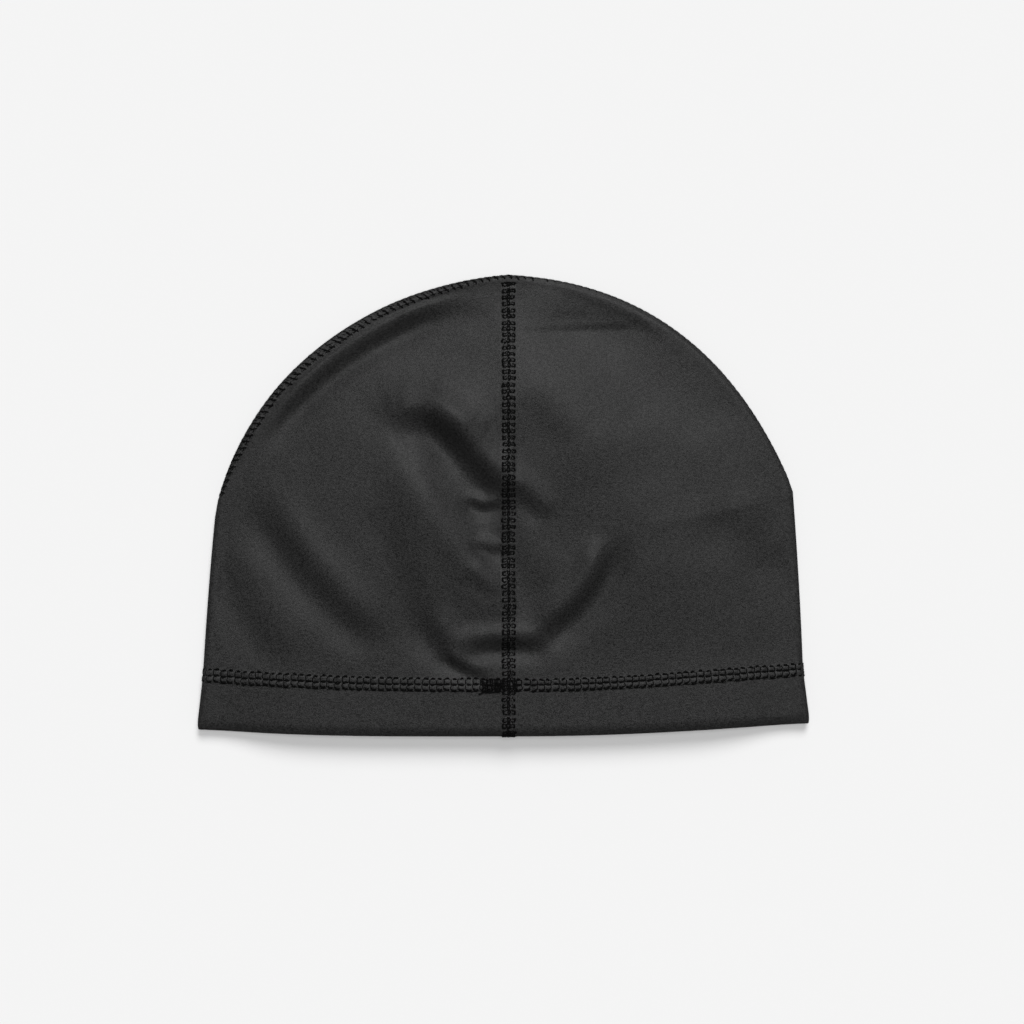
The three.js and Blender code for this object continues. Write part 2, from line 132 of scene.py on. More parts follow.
# Stitching. A stroke of thread has its radius in millimetres, then points (t, v, lift): t along the seam as
# a share of the pitch, v across it and lift above the cloth in millimetres. In the hem's stitching v grows
# towards the crown, in the other seams towards the right or the upper side.
HEM_PITCH = 3.05
HEM_STROKES = [
    (0.4, [(-0.24, 2.3, -0.25), (-0.12, 2.6, 0.3), (0.1, 2.6, 0.3), (0.22, 2.3, -0.25)]),
    (0.14, [(-0.5, 2.2, 0.05), (-0.2, 2.1, 0.12), (0.2, 2.1, 0.12), (0.5, 2.2, 0.05)]),
    (0.22, [(0.4, 2.4, 0.1), (0.47, 1.2, 0.3), (0.4, 0.1, 0.1)]),
    (0.45, [(-0.3, -0.1, -0.2), (-0.14, 0.16, 0.3), (0.12, 0.1, 0.32), (0.3, -0.1, -0.2)]),
    (0.17, [(-0.5, 0.1, 0.1), (-0.2, 0.3, 0.2), (0.2, 0.3, 0.2), (0.5, 0.1, 0.1)]),
    (0.2, [(0.4, 0, 0.1), (0.47, -1.2, 0.26), (0.36, -2.2, 0.1)]),
    (0.44, [(-0.3, -1.9, -0.2), (-0.15, -2.3, 0.3), (0.06, -2.35, 0.32), (0.22, -2.1, 0.2),
            (0.32, -1.6, -0.1)]),
    (0.17, [(-0.5, -2.65, 0.06), (0, -2.72, 0.12), (0.5, -2.65, 0.06)]),
]
CROWN_STROKES = [
    (0.42, [(-0.36, 0.1, 0.1), (-0.16, 0.7, 0.36), (0.06, 1.3, 0.4), (0.2, 1.9, 0.26), (0.26, 2.2, -0.1)]),
    (0.28, [(-0.5, 1.3, 0.1), (-0.2, 1.6, 0.3), (0.1, 1.5, 0.34), (0.45, 1.2, 0.1)]),
    (0.3, [(-0.6, -1.4, 0.2), (-0.36, -0.6, 0.34), (-0.12, 0.1, 0.36), (0.1, 0.8, 0.2)]),
    (0.2, [(0.02, -1.2, 0.2), (0.25, -0.4, 0.34), (0.42, 0.3, 0.2)]),
    (0.22, [(-0.3, -1.9, 0.1), (0, -1.6, 0.22), (0.3, -1.3, 0.1)]),
]
SEAM_PITCH = 2.75
SEAM_STROKES = [
    (0.44, [(-0.34, -2.15, -0.2), (-0.18, -2.4, 0.26), (0.12, -2.35, 0.3), (0.28, -2.1, -0.2)]),
    (0.34, [(-0.24, -2.2, 0.1), (-0.32, -1.5, 0.34), (-0.2, -0.6, 0.3)]),
    (0.28, [(0.24, -2.2, 0.1), (0.16, -1.4, 0.34), (0.36, -0.6, 0.3)]),
    (0.2, [(-0.5, -1.2, 0.1), (-0.2, -0.9, 0.3), (0.1, -1.3, 0.3), (0.5, -1.2, 0.1)]),
    (0.42, [(-0.5, -0.5, 0.2), (-0.25, -0.1, 0.34), (0, -0.6, 0.2), (0.25, -0.1, 0.34), (0.5, -0.5, 0.2)]),
    (0.36, [(-0.5, 0.6, 0.1), (-0.2, 0.3, 0.36), (0.05, 0.8, 0.4), (0.3, 0.3, 0.36), (0.5, 0.6, 0.1)]),
    (0.32, [(-0.3, 0.6, 0.1), (-0.2, 1.4, 0.36), (-0.26, 2.4, 0.1)]),
    (0.26, [(0.14, 0.6, 0.1), (0.26, 1.4, 0.34), (0.1, 2.4, 0.1)]),
    (0.4, [(-0.34, 2.2, -0.2), (-0.14, 2.5, 0.28), (0.1, 2.55, 0.3), (0.26, 2.3, -0.2)]),
    (0.2, [(-0.5, 1.6, 0.1), (-0.1, 1.3, 0.3), (0.2, 1.8, 0.3), (0.5, 1.6, 0.1)]),
]
STITCH_JITTER = 0.27  # how unevenly the stitches lie, in millimetres
LIFT_JITTER = 0.04
STROKE_SAMPLES = 11  # points along the smooth line of a stroke
THREAD_SIDES = 6
THREAD_TAPER = 0.5  # share of a thread's radius that is left at its ends
THREAD_LOWEST = 0.01  # no thread goes below this height above the floor
CROWN_MARGIN = 9  # the crown's stitches end this far from the dart's ends
FOLD_SINK = 0.35  # how deep the hem's threads are pulled in at the folded sides
CROWN_SINK = 0.28  # how deep the crown's threads are pulled in along the right

# Rolled edge of the hem. Its drop is made of shares of the hem's cloth, and of the curl of the upper layer.
HEM_ROLL = 4.6  # the roll reaches this far into the hem
HEM_ROLL_ANGLES = [12, 25, 38, 52, 65, 78]  # rows of the mesh round the roll, in degrees
ROLL_OUTER = 0.9  # share of the hem's cloth by which the outer surface drops
ROLL_INNER = 0.04  # share by which the inner surface rises
HEM_CURL = 2.4  # the upper layer's edge curls down by this
CURL_FROM_FOLD = 20  # distance from the folded side over which the curl grows
SEAM_CURL = 0.9  # share of the hem's drop that the thicker seam follows
CORNER = 7  # the hem's corners are blunter up to this distance from the folded side
CORNER_LIFT = 0.55  # share of the hem's cloth by which they drop less

# The tack beside the back seam, in millimetres from the seam's middle: strands across the seam's rows, then
# rows along it, then its loose tail. A pair of values is the range that a strand's own value comes from.
TACK_FROM, TACK_TO = -10.7, 3.6
TACK_MARGIN = 3  # cloth taken in beyond the tack's left end, for the tail
TACK_BELOW = 2  # below the hem's stitching
TACK_BEYOND = 1  # above it and right of the tack
TACK_SPLIT = 0.2  # no point lies closer to the seam's middle line, where the two halves meet
TACK_STRANDS = 30
TACK_LOW = (-3, -1.6)
TACK_HIGH = (1.4, 2.9)
TACK_LIFT = (0.35, 0.75)
TACK_RADIUS = (0.13, 0.22)
TACK_ROWS = (-2.8, -1.5, -0.2, 1.1, 2.3)
TACK_ROW_LIFT = (0.45, 0.8)
TACK_ROW_RADIUS = 0.15
TACK_ROW_POINTS = 14
TACK_ROW_SAMPLES = 60
TAIL_FIBRES = 7
TAIL_REACH = (1.4, 2.2)
TAIL_V = -3.9
TAIL_LIFT = (0.2, 0.9)
TAIL_RADIUS = (0.1, 0.17)

# Strips of cloth under the stitching: half widths, then the cells that puff up between the stitches.
BAND_HALF = 3.2
BAND_CLOTH = 0.5  # thickness of the band that covers the joint between panel and hem
STRIP_HALF = SEAM_HALF + 0.5
CELL_ROW = 2.45  # width of a row of cells
CELL_PUFF = 0.34  # height of a cell in the hem's stitching
SEAM_PUFF = 0.22  # and in the seams
CELL_ALONG = 0.6  # powers that square off a cell along and across its seam
CELL_ACROSS = 0.7
STRIP_RAISE = 0.04  # by which a strip rises just inside its edge
STRIP_LIP = 0.02  # a strip's edge stands this far above the cloth
STRIP_UNDER = 0.01  # and the underside of that edge this far below it
STRIP_OVERLAP = 0.1  # by which a strip's thick middle stops short of the panels' edges
STRIP_EDGE = 0.5  # distance from its edge over which a strip rises
STRIP_END = 8  # the same from its ends
STRIP_LOWEST = 0.001  # a strip keeps this clear of the floor
BAND_STEP = 0.42  # size of a mesh cell along a strip
BAND_COLUMNS = 19
STRIP_COLUMNS = 19

# Mesh rows and columns of the fine surfaces.
HEM_ROWS = 16
SIDE_ROWS = 46
CROWN_ROWS = 120
LOWER_ROWS = 50
UPPER_COLUMNS = 96
EDGE_COLUMNS = 12
LOWER_COLUMNS = 24
RIB_SAMPLES = 200
ROLL_SAMPLES = 30
BISECTIONS = 30
SHARP_DEGREES = 50  # edges of the cloth steeper than this are shown sharp

# The cap is drawn as ribs that leave the outline, and a rib's stage says where: 0 is the hem's edge.
STITCH, DART, CROWN = 1, 2, 3
RIB_TENSION = 0.4  # share of a rib's span that its handles reach
HEM_SLOPE = 0.055  # slope of the hem's ribs where they leave the outline
LAST_RIB_DEPTH = SIDE_FOLD_RADIUS + 1.5 * SEAM_WIDTH  # how far below the crown the last rib ends
CENTRE_AT_DART = 0.46  # share of HEIGHT where the rib of the dart's end meets the centre line

# Stages between which one rule gives way to the next.
HEM_FOLD_UNTIL, SIDE_FOLD_FROM = STITCH - 0.2, STITCH + 0.6
FOLDS_FROM, FOLDS_FULL = STITCH - 0.1, STITCH + 0.2
SQUARE_FROM = DART + 0.2
DOWNWARD_FROM = CROWN - 0.25
STRAIGHT_FROM = CROWN - 0.4
LOWEST_TIP = DART + 0.3
OUTWARD = {"left": -1, "right": 1}
MM = 0.001


def share(point):
    return np.array([point[0] * HALF, point[1] * HEIGHT])


def smooth(value, low, high):
    t = np.clip((value - low) / (high - low), 0, 1)
    return t * t * (3 - 2 * t)


def unit(vector):
    return vector / np.maximum(np.linalg.norm(vector, axis=-1, keepdims=True), 1e-12)


def mix(a, b, t):
    return a + (b - a) * t


def bezier(points, t):
    """Points of a Bezier curve of any degree, at the shares t."""
    degree = len(points) - 1
    t = np.atleast_1d(t)[:, None]
    return sum(
        math.comb(degree, i) * (1 - t) ** (degree - i) * t**i * np.asarray(p) for i, p in enumerate(points)
    )


def half_outline(side):
    """Control points of one half's outline: the hem's side, the panel's side and the crown arc."""
    row = OUTLINE[side]
    hem = np.array([OUTWARD[side] * HALF, HEM_LIFT[side]])
    stitch = np.array([row["stitch"] * HALF, HEM_LIFT[side] + HEM_DEPTH + STITCH_LIFT])
    dart = share(row["dart"])
    crown = np.array([SEAM_OFFSET, HEIGHT])
    return [
        [hem, stitch],
        [stitch, share(row["waist"]), dart],
        [dart, share(row["lean"]), share(row["brow"]), crown],
    ]


OUTLINES = {side: half_outline(side) for side in OUTWARD}


def outline_point(side, stage):
    piece = int(np.clip(math.floor(stage), 0, 2))
    return bezier(OUTLINES[side][piece], min(max(stage - piece, 0), 1))[0]


def outline_length(side, piece):
    points = bezier(OUTLINES[side][piece], np.linspace(0, 1, RIB_SAMPLES))
    return np.linalg.norm(np.diff(points, axis=0), axis=1).sum()


def inward(side, stage):
    """Direction from the outline into the cap, as the part has it."""
    step = 0.12
    along = unit(outline_point(side, min(stage + step, CROWN)) - outline_point(side, max(stage - step, 0)))
    sign = OUTWARD[side]
    square = np.array([-sign * along[1], sign * along[0]])
    level = np.array([-sign, -HEM_SLOPE])
    into = mix(level, square, smooth(stage, STITCH, SQUARE_FROM))
    return unit(mix(into, np.array([0, -1]), smooth(stage, DOWNWARD_FROM, CROWN)))


def fold_radius(stage):
    """Outer radius of the folded side, which is larger in the double cloth of the hem."""
    return mix(HEM_FOLD_RADIUS, SIDE_FOLD_RADIUS, smooth(stage, HEM_FOLD_UNTIL, SIDE_FOLD_FROM))


def centre_point(stage, upper):
    """Where a rib meets the line of the centre seam."""
    dart_y = CENTRE_AT_DART * HEIGHT
    y = mix(0, HEM_DEPTH, stage)
    if stage > STITCH:
        y = mix(HEM_DEPTH, dart_y, stage - STITCH)
    if stage > DART:
        y = mix(dart_y, HEIGHT - LAST_RIB_DEPTH, stage - DART)
    if not upper:
        y += LOWER_HEM_INSET * (1 - smooth(stage, STITCH, CROWN))
    return np.array([SEAM_OFFSET, y])


@lru_cache(maxsize=None)
def rib(side, stage, upper):
    """A rib's plan from the fold's inner edge to the centre line: lengths from its start, and points."""
    into = inward(side, stage)
    start = outline_point(side, stage) + into * fold_radius(stage)
    end = centre_point(stage, upper)
    reach = RIB_TENSION * np.linalg.norm(end - start)
    straight = unit(start - end)
    level = np.array([OUTWARD[side], 0])
    away = unit(mix(level, straight, smooth(stage, STRAIGHT_FROM, CROWN)))
    points = bezier([start, start + into * reach, end + away * reach, end], np.linspace(0, 1, RIB_SAMPLES))
    lengths = np.concatenate([[0], np.cumsum(np.linalg.norm(np.diff(points, axis=0), axis=1))])
    return lengths, points


def lattice_noise(x, y, cell, seed):
    """Smooth random heights from -1 to 1, with one random value for each cell's corner."""
    table = np.random.default_rng(seed).uniform(-1, 1, (NOISE_CORNERS, NOISE_CORNERS))
    gx, gy = x / cell + NOISE_SHIFT, y / cell + NOISE_SHIFT
    ix, iy = np.floor(gx).astype(int), np.floor(gy).astype(int)
    fx, fy = smooth(gx - ix, 0, 1), smooth(gy - iy, 0, 1)

    def corner(dx, dy):
        return table[(ix + dx) % NOISE_CORNERS, (iy + dy) % NOISE_CORNERS]

    return mix(mix(corner(0, 0), corner(1, 0), fx), mix(corner(0, 1), corner(1, 1), fx), fy)


def fold_relief(x, y):
    """Height that the folds and the undulation add at places of the upper layer."""
    height = np.zeros_like(x)
    for start, lean, end, width_share, drop_share in FOLDS:
        width, drop = width_share * FOLD_WIDTH, drop_share * FOLD_DROP
        line = bezier([share(start), share(lean), share(end)], np.linspace(0, 1, FOLD_STEPS + 1))
        best = np.full_like(x, np.inf)
        along, side = np.zeros_like(x), np.zeros_like(x)
        for i, (a, b) in enumerate(zip(line[:-1], line[1:])):
            ab = b - a
            t = np.clip(((x - a[0]) * ab[0] + (y - a[1]) * ab[1]) / (ab @ ab), 0, 1)
            dx, dy = x - a[0] - t * ab[0], y - a[1] - t * ab[1]
            distance = np.hypot(dx, dy)
            nearer = distance < best
            best = np.where(nearer, distance, best)
            along = np.where(nearer, (i + t) / FOLD_STEPS, along)
            side = np.where(nearer, np.sign(ab[0] * dy - ab[1] * dx) * np.sign(ab[0]), side)
        across = best / width * side
        fade = smooth(along, 0, FOLD_FADE) * smooth(1 - along, 0, FOLD_FADE)
        height += drop * across * np.exp((1 - across**2) / 2) * fade
    for i, (cell, swell) in enumerate(UNDULATION):
        height += swell * lattice_noise(x, y, cell, SEED + i)
    return height


def surface(side, stages, around):
    """Outer surface at each stage, for a row of distances round the cloth from the outline."""
    points = np.zeros((*around.shape, 3))
    weight = np.zeros(around.shape)
    for i, stage in enumerate(stages):
        radius = fold_radius(stage)
        quarter = math.pi / 2 * radius
        angle = np.clip(around[i] / radius, -math.pi / 2, math.pi / 2)
        into = inward(side, stage)
        plan = outline_point(side, stage) + into * (radius * (1 - np.cos(angle)))[:, None]
        run = np.abs(around[i]) - quarter
        for upper in (True, False):
            lengths, line = rib(side, stage, upper)
            beyond = (run > 0) & ((around[i] > 0) == upper)
            for axis in (0, 1):
                plan[beyond, axis] = np.interp(run[beyond], lengths, line[:, axis])
        run = np.where(around[i] > 0, np.maximum(run, 0), 0)
        rise = mix(MOUTH_RISE, BODY_RISE, smooth(stage, STITCH, DART))
        reach = mix(HEM_REACH, CROWN_REACH, smooth(stage, STITCH, DART))
        points[i, :, :2] = plan
        points[i, :, 2] = radius * (1 + np.sin(angle)) + rise * (1 - np.exp(-((run / reach) ** 2)))
        weight[i] = smooth(run, 0, FOLD_CLEARANCE) * smooth(stage, FOLDS_FROM, FOLDS_FULL)
    points[..., 2] += weight * fold_relief(points[..., 0], points[..., 1])
    return points


def surface_with_normals(side, stages, around):
    """The outer surface and its normals, from places a small step of a stage and of a distance apart."""
    step, reach = 0.01, 0.15
    stages = np.asarray(stages, float)
    ahead = surface(side, np.minimum(stages + step, CROWN), around)
    up = ahead - surface(side, np.maximum(stages - step, 0), around)
    inside = surface(side, stages, around + reach) - surface(side, stages, around - reach)
    normals = unit(np.cross(inside, up) * -OUTWARD[side])
    return surface(side, stages, around), normals


@lru_cache(maxsize=None)
def seam_line(side, stage, upper, half):
    """Distance round the cloth from the outline to the line "half" beside a centre seam's middle."""
    lengths, line = rib(side, stage, upper)
    radius = fold_radius(stage)
    quarter = math.pi / 2 * radius
    angles = np.linspace(0, math.pi / 2, ROLL_SAMPLES)
    roll = outline_point(side, stage)[0] + inward(side, stage)[0] * radius * (1 - np.cos(angles))
    x = np.concatenate([roll, line[1:, 0]])
    around = np.concatenate([angles * radius, quarter + lengths[1:]])
    past = np.flatnonzero(np.abs(x - SEAM_OFFSET) <= half)
    first = past[0] if len(past) else len(x) - 1
    if first == 0:
        return 0.0
    a, b = abs(x[first - 1] - SEAM_OFFSET), abs(x[first] - SEAM_OFFSET)
    distance = mix(around[first - 1], around[first], (a - half) / max(a - b, 1e-9))
    return distance if upper else -distance


def crown_drift(side, stage):
    along = min(max(stage - DART, 0), 1)
    rows = CROWN_SEAM_DRIFT[side]
    for (a, drift_a), (b, drift_b) in zip(rows[:-1], rows[1:]):
        if along <= b:
            return SEAM_WIDTH * mix(drift_a, drift_b, smooth(along, a, b))
    return SEAM_WIDTH * rows[-1][1]


def crown_line(side, stage, upper):
    """Distance round the cloth from the outline to the crown seam's clearance, above the dart's end."""
    return (PANEL_EDGE if upper else -PANEL_EDGE) + crown_drift(side, stage)


def crown_tip(side, upper, half):
    """Stage where the line "half" beside a centre seam's middle runs into the crown seam."""
    low, high = LOWEST_TIP, CROWN
    for _ in range(BISECTIONS):
        stage = (low + high) / 2
        if abs(seam_line(side, stage, upper, half)) > abs(crown_line(side, stage, upper)):
            low = stage
        else:
            high = stage
    return low


class Wall:
    """A wall of cloth: faces on the outer surface, the same on the inner one, and a rim round the edges."""

    def __init__(self, faces_down):
        self.faces_down = faces_down
        self.outer, self.inner, self.quads, self.triangles = [], [], [], []
        self.count = 0

    def rows(self, points, normals, outer, inner):
        """Adds a grid of vertices and returns their numbers, row by row."""
        rows, columns = points.shape[:2]
        outer, inner = np.broadcast_to(outer, (rows, columns)), np.broadcast_to(inner, (rows, columns))
        self.outer.append((points + normals * outer[..., None]).reshape(-1, 3))
        self.inner.append((points + normals * inner[..., None]).reshape(-1, 3))
        ids = self.count + np.arange(rows * columns).reshape(rows, columns)
        self.count += rows * columns
        return ids

    def join(self, ids):
        a, b, c, d = ids[:-1, :-1], ids[1:, :-1], ids[1:, 1:], ids[:-1, 1:]
        quads = np.stack([a, b, c, d], axis=-1).reshape(-1, 4)
        self.quads.append(quads[:, ::-1] if self.faces_down else quads)

    def close(self, row, point):
        """Joins a row to the one vertex at a lobe's point."""
        triangles = np.stack([row[:-1], np.full(len(row) - 1, point), row[1:]], axis=-1)
        self.triangles.append(triangles[:, ::-1] if self.faces_down else triangles)

    def faces(self):
        return [f.tolist() for group in (self.quads, self.triangles) for part in group for f in part]

    def mesh(self, name):
        faces = self.faces()
        edges = {(f[i - 1], f[i]) for f in faces for i in range(len(f))}
        rim = [(q, p, p + self.count, q + self.count) for p, q in edges if (q, p) not in edges]
        inner = [[v + self.count for v in reversed(f)] for f in faces]
        points = np.concatenate(self.outer + self.inner)
        return make_mesh(name, points, faces + inner + rim)


def make_mesh(name, points, faces, sharp=SHARP_DEGREES):
    """A mesh object of the part from points in millimetres."""
    mesh = bpy.data.meshes.new(name)
    mesh.from_pydata(((points + SHIFT) * MM).tolist(), [], faces)
    mesh.polygons.foreach_set("use_smooth", [True] * len(mesh.polygons))
    mesh.set_sharp_from_angle(angle=math.radians(sharp))
    obj = bpy.data.objects.new(name, mesh)
    bpy.context.scene.collection.objects.link(obj)
    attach(obj, "root")
    return obj


# The part's origin is the middle of its footprint, so its top edge says how far the drawing is shifted.
SHIFT = np.array([0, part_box("crown_seam")[1].y / MM - HEIGHT - SEAM_CREST, 0])


def hem_drop(distance):
    """Share of the full drop of the hem's rolled edge, at a distance from it in millimetres."""
    return 1 - np.sqrt(1 - np.clip(1 - distance / HEM_ROLL, 0, 1) ** 2)


def edge_drop(upper_share):
    """How far the outer surface drops at the hem's very edge. Only the upper layer's edge curls down."""
    return ROLL_OUTER * HEM_CLOTH + HEM_CURL * upper_share


def whole_columns(side, stage):
    """Distances round the cloth from the back seam over the folded side to the front seam."""
    upper_fold, lower_fold = crown_line(side, DART, True), crown_line(side, DART, False)
    return np.concatenate([
        np.linspace(seam_line(side, stage, True, PANEL_EDGE), upper_fold, UPPER_COLUMNS + 1),
        np.linspace(upper_fold, lower_fold, EDGE_COLUMNS + 1)[1:],
        np.linspace(lower_fold, seam_line(side, stage, False, PANEL_EDGE), LOWER_COLUMNS + 1)[1:],
    ])


def lobe_columns(side, stage, upper):
    """Distances round the cloth between a centre seam and the crown seam, above the dart's end."""
    seam, crown = seam_line(side, stage, upper, PANEL_EDGE), crown_line(side, stage, upper)
    if upper:
        return np.linspace(seam, crown, UPPER_COLUMNS + 1)
    return np.linspace(crown, seam, LOWER_COLUMNS + 1)


def hem(side):
    """The turned-up edge of one half, with its lower edge rolled."""
    wall = Wall(side == "right")
    top = HEM_DEPTH - PIECE_GAP / 2
    rolled = HEM_ROLL * (1 - np.cos(np.radians(HEM_ROLL_ANGLES)))
    distance = np.concatenate([rolled, np.linspace(HEM_ROLL, top, HEM_ROWS + 1)])
    stages = distance / HEM_DEPTH
    around = np.array([whole_columns(side, s) for s in stages])
    points, normals = surface_with_normals(side, stages, around)
    drop = hem_drop(distance)[:, None]
    curl = smooth(around, 0, CURL_FROM_FOLD)
    corner = 1 - smooth(np.abs(around), 0, CORNER)
    outer = drop * (CORNER_LIFT * HEM_CLOTH * corner - edge_drop(curl))
    inner = drop * (ROLL_INNER * HEM_CLOTH - HEM_CURL * curl) - HEM_CLOTH
    wall.join(wall.rows(points, normals, outer, inner))
    return wall.mesh(f"{side}_hem_cloth")


def panel(side):
    """One half of the cap, with a lobe on each layer above the dart's end."""
    wall = Wall(side == "right")
    bottom = STITCH + PIECE_GAP / 2 / outline_length(side, 1)
    stages = np.linspace(bottom, DART, SIDE_ROWS + 1)
    around = np.array([whole_columns(side, s) for s in stages])
    ids = wall.rows(*surface_with_normals(side, stages, around), 0, -CLOTH)
    wall.join(ids)
    for upper in (True, False):
        tip = crown_tip(side, upper, PANEL_EDGE)
        stages = np.linspace(DART, tip, (CROWN_ROWS if upper else LOWER_ROWS) + 1)[1:-1]
        around = np.array([lobe_columns(side, s, upper) for s in stages])
        lobe = wall.rows(*surface_with_normals(side, stages, around), 0, -CLOTH)
        first = ids[-1, : UPPER_COLUMNS + 1] if upper else ids[-1, -LOWER_COLUMNS - 1 :]
        wall.join(np.vstack([first, lobe]))
        point = np.array([[crown_line(side, tip, upper)]])
        wall.close(lobe[-1], wall.rows(*surface_with_normals(side, [tip], point), 0, -CLOTH)[0, 0])
    return wall.mesh(f"{side}_panel_cloth")


class Patch:
    """A strip of the cap's surface. u runs along it and v across it, both in millimetres."""

    def __init__(self, points, normals, v):
        self.points, self.normals, self.v = points, unit(normals), v
        middle = points[:, points.shape[1] // 2]
        self.u = np.concatenate([[0], np.cumsum(np.linalg.norm(np.diff(middle, axis=0), axis=1))])

    def at(self, u, v, lift):
        """Points that stand lift above the surface at (u, v), and the surface's normals there."""
        row = np.interp(u, self.u, np.arange(len(self.u)))
        column = np.interp(v, self.v, np.arange(len(self.v)))
        r = np.minimum(row.astype(int), len(self.u) - 2)
        c = np.minimum(column.astype(int), len(self.v) - 2)
        fr, fc = (row - r)[..., None], (column - c)[..., None]

        def blend(grid):
            return mix(mix(grid[r, c], grid[r + 1, c], fr), mix(grid[r, c + 1], grid[r + 1, c + 1], fr), fc)

        normals = unit(blend(self.normals))
        return blend(self.points) + normals * lift[..., None], normals

    def offsets(self, crest, puff, pitch):
        """How far a strip stands out: a low dome with puffed cells between the stitches, flat at its ends."""
        u, v = self.u[:, None], self.v[None, :]
        along = np.abs(np.cos(math.pi * (u / pitch - 0.5))) ** CELL_ALONG
        across = np.clip(np.sin(math.pi * np.abs(v) / CELL_ROW), 0, 1) ** CELL_ACROSS
        ends = smooth(u, 0, STRIP_END) * smooth(self.u[-1] - u, 0, STRIP_END)
        edge = smooth(self.v[-1] - np.abs(v), 0, STRIP_EDGE)
        dome = crest * np.clip(1 - (v / SEAM_HALF) ** 2, 0, 1)
        outer = STRIP_LIP + edge * (STRIP_RAISE + dome + puff * along * across) * ends
        return np.minimum(outer, np.maximum(self.points[..., 2], STRIP_LOWEST))

    def cloth(self, name, outer, inner):
        """A closed strip of cloth between two offsets from the surface."""
        along, across = self.points[1, 0] - self.points[0, 0], self.points[0, 1] - self.points[0, 0]
        wall = Wall(np.cross(along, across) @ self.normals[0, 0] < 0)
        wall.join(wall.rows(self.points, self.normals, outer, inner))
        return wall.mesh(name)


def hem_patch(side):
    """The band of the hem's stitching, from the back seam round the fold to the front seam."""
    v = np.linspace(-BAND_HALF, BAND_HALF, BAND_COLUMNS)
    stages = STITCH + np.where(v < 0, v / HEM_DEPTH, v / outline_length(side, 1))
    count = round(HEM_WIDTH / BAND_STEP)
    around = np.array([
        np.linspace(seam_line(side, s, True, SEAM_HALF), seam_line(side, s, False, SEAM_HALF), count)
        for s in stages
    ])
    points, normals = surface_with_normals(side, stages, around)
    return Patch(points.swapaxes(0, 1), normals.swapaxes(0, 1), v)


def centre_patch(upper):
    """The band of a centre seam, from the hem's fold to the crown seam."""
    body = np.linspace(0, DART, round(CENTRE_AT_DART * HEIGHT / BAND_STEP))
    climb = np.linspace(0, 1, round((1 - CENTRE_AT_DART) * HEIGHT / BAND_STEP))[1:]
    v = np.linspace(-STRIP_HALF, STRIP_HALF, STRIP_COLUMNS)
    edges = []
    for side in ("left", "right"):
        stages = np.concatenate([body, mix(DART, crown_tip(side, upper, SEAM_HALF), climb)])
        around = np.array([[seam_line(side, s, upper, STRIP_HALF)] for s in stages])
        edges.append(surface_with_normals(side, stages, around))
    (left, left_normals), (right, right_normals) = edges
    t = ((v / STRIP_HALF + 1) / 2)[:, None]
    points, normals = mix(left, right, t), unit(mix(left_normals, right_normals, t))
    drop = hem_drop(np.minimum(stages, STITCH) * HEM_DEPTH) * edge_drop(upper)
    return Patch(points - normals * SEAM_CURL * drop[:, None, None], normals, v)


def crown_patch():
    """The band of the crown seam, from the left dart's end over the crown to the right one's."""
    v = np.linspace(-STRIP_HALF, STRIP_HALF, STRIP_COLUMNS)
    halves = []
    for side in ("left", "right"):
        length = outline_length(side, 2)
        stages = np.linspace(DART - PIECE_GAP / length, CROWN, round(length / BAND_STEP))
        around = np.array([v + crown_drift(side, s) for s in stages])
        halves.append(surface_with_normals(side, stages, around))
    (left, left_normals), (right, right_normals) = halves
    points = np.concatenate([left, right[-2::-1]])
    return Patch(points, np.concatenate([left_normals, right_normals[-2::-1]]), v)


def tack_patch():
    """The upper layer across the end of the hem's stitching, from TACK_MARGIN left of the tack."""
    v = np.linspace(-BAND_HALF - TACK_BELOW, BAND_HALF + TACK_BEYOND, BAND_COLUMNS)
    halves = []
    spans = {
        "left": np.arange(TACK_FROM - TACK_MARGIN, -TACK_SPLIT, BAND_STEP),
        "right": np.arange(TACK_SPLIT, TACK_TO + TACK_BEYOND, BAND_STEP),
    }
    for side, x in spans.items():
        stages = STITCH + np.where(v < 0, v / HEM_DEPTH, v / outline_length(side, 1))
        around = np.array([[seam_line(side, s, True, abs(offset)) for offset in x] for s in stages])
        halves.append(surface_with_normals(side, stages, around))
    (left, left_normals), (right, right_normals) = halves
    points, normals = np.hstack([left, right]), np.hstack([left_normals, right_normals])
    return Patch(points.swapaxes(0, 1), normals.swapaxes(0, 1), v)


def strip_inside(patch):
    """A strip's inner offset: full cloth between the panels' edges, and a thin lip over them."""
    return np.where(np.abs(patch.v) < PANEL_EDGE - STRIP_OVERLAP, -SEAM_CLOTH, -STRIP_UNDER)


def spline(points, samples):
    """Smooth lines through rows of points: (lines, points, 3) becomes (lines, samples, 3)."""
    padded = np.concatenate([points[:, :1], points, points[:, -1:]], axis=1)
    s = np.linspace(0, points.shape[1] - 1, samples)
    i = np.minimum(s.astype(int), points.shape[1] - 2)
    t = (s - i)[None, :, None]
    a, b, c, d = (padded[:, i + k] for k in range(4))
    return b + t / 2 * (c - a + t * (2 * a - 5 * b + 4 * c - d + t * (3 * (b - c) + d - a)))


def sunk_at_fold(share):
    """How deep the hem's threads are pulled in at a share of their band, which is folded half way along."""
    return FOLD_SINK * (1 - smooth(np.abs(share - 0.5), 0.004, 0.03))


def sunk_on_right(share):
    """How deep the crown's threads are pulled in at a share of their seam, which runs from left to right."""
    return CROWN_SINK * smooth(share, 0.5, 0.6)


